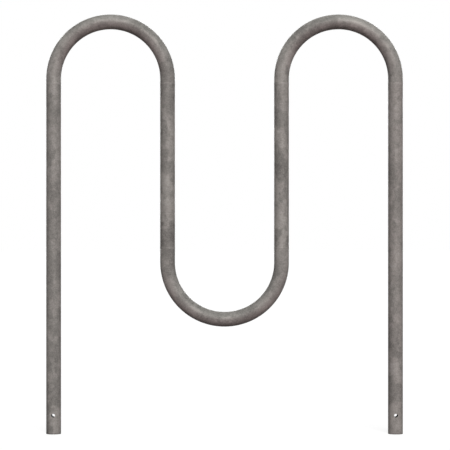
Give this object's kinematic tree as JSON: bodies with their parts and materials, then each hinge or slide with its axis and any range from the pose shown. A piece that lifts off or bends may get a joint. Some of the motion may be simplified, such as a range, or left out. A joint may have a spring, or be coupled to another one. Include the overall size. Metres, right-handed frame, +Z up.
{
  "type": "bike rack",
  "caption": "Wave-shaped bicycle rack of galvanised steel pipe with rounded arches and a lower bend, its legs cross-drilled for setting in the ground.",
  "frame": {"origin": "midway between the two legs, level with their lower ends", "axes": "+Z up along the legs, +X from the left leg to the right leg seen from the front, front towards -Y"},
  "size_m": [0.9944, 0.0418, 1.1683],
  "materials": {
    "galvanised_pipe": "hot-dip galvanised steel pipe, weathered matt grey with soft mottling",
    "galvanised_weld": "dressed steel weld under the same galvanising",
    "backing_ring": "plain steel ring, galvanised inside the pipe"
  },
  "bodies": {
    "root": {"left_leg": "galvanised_pipe", "right_leg": "galvanised_pipe", "left_upright": "galvanised_pipe", "right_upright": "galvanised_pipe", "left_arch": "galvanised_pipe", "right_arch": "galvanised_pipe", "lower_bend": "galvanised_pipe", "weld_left_leg": "galvanised_weld", "weld_right_leg": "galvanised_weld", "weld_left_upright_top": "galvanised_weld", "weld_left_upright_bottom": "galvanised_weld", "weld_right_upright_top": "galvanised_weld", "weld_right_upright_bottom": "galvanised_weld", "backing_ring_left_leg": "backing_ring", "backing_ring_right_leg": "backing_ring", "backing_ring_left_upright_top": "backing_ring", "backing_ring_left_upright_bottom": "backing_ring", "backing_ring_right_upright_top": "backing_ring", "backing_ring_right_upright_bottom": "backing_ring"}
  },
  "joints": []
}
